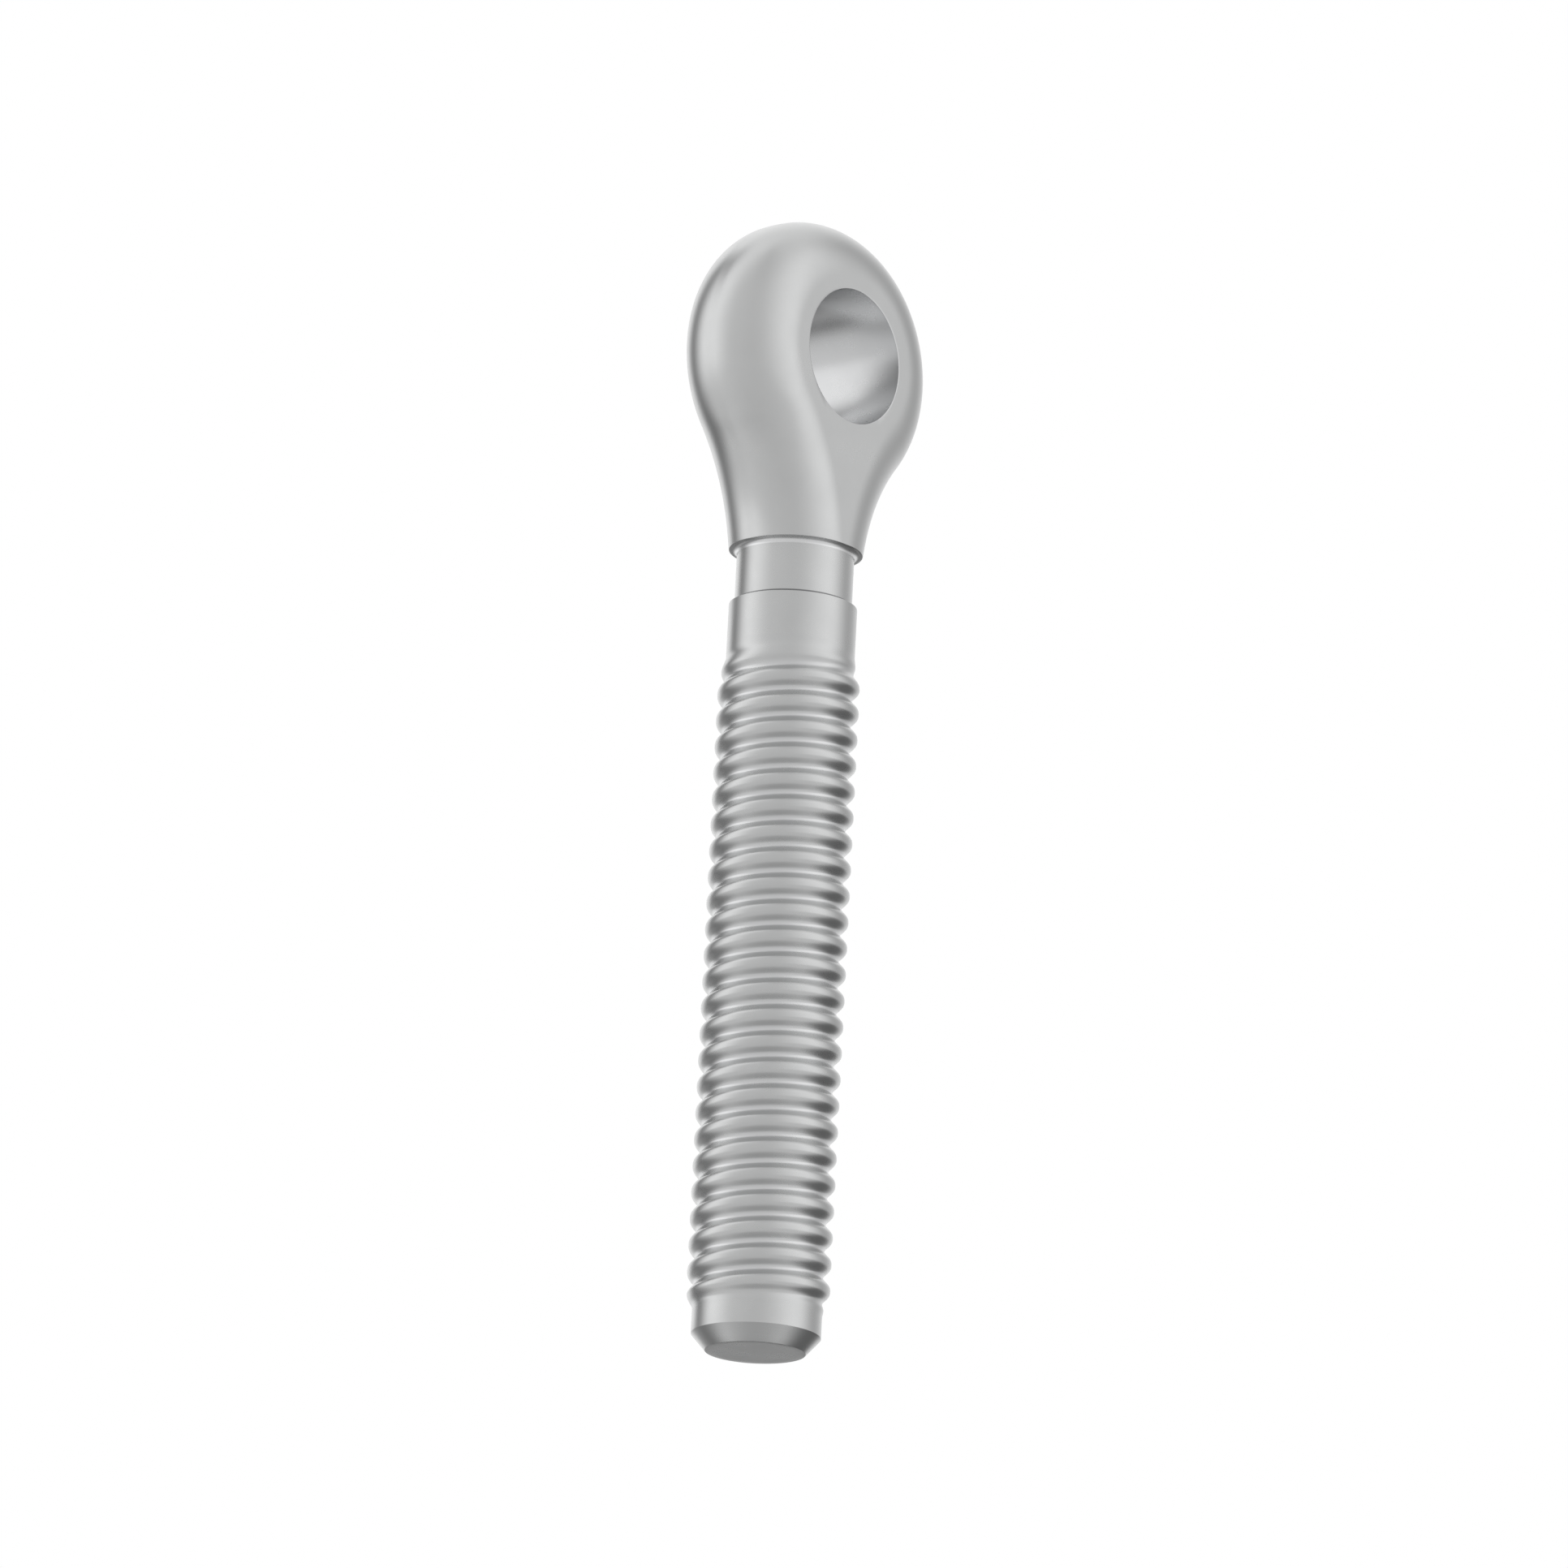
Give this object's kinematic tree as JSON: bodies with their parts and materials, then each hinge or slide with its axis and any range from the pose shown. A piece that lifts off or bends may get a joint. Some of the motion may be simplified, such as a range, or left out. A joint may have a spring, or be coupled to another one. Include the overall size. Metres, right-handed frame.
{
  "type": "eye bolt",
  "caption": "Forged shank eye bolt: a thick round eye, a tapering throat, a turned relief and a long shank with a coarse rolled thread.",
  "frame": {"origin": "centre of the eye: on the axis of the hole, halfway between the two cheeks", "axes": "+Z along the bolt from its point to its eye, +Y along the hole's axis, +X across the ring"},
  "size_m": [0.0454, 0.0222, 0.1816],
  "materials": {
    "steel": "satin, bright zinc-grey"
  },
  "bodies": {
    "root": {"eye_bolt": "steel"}
  },
  "joints": []
}
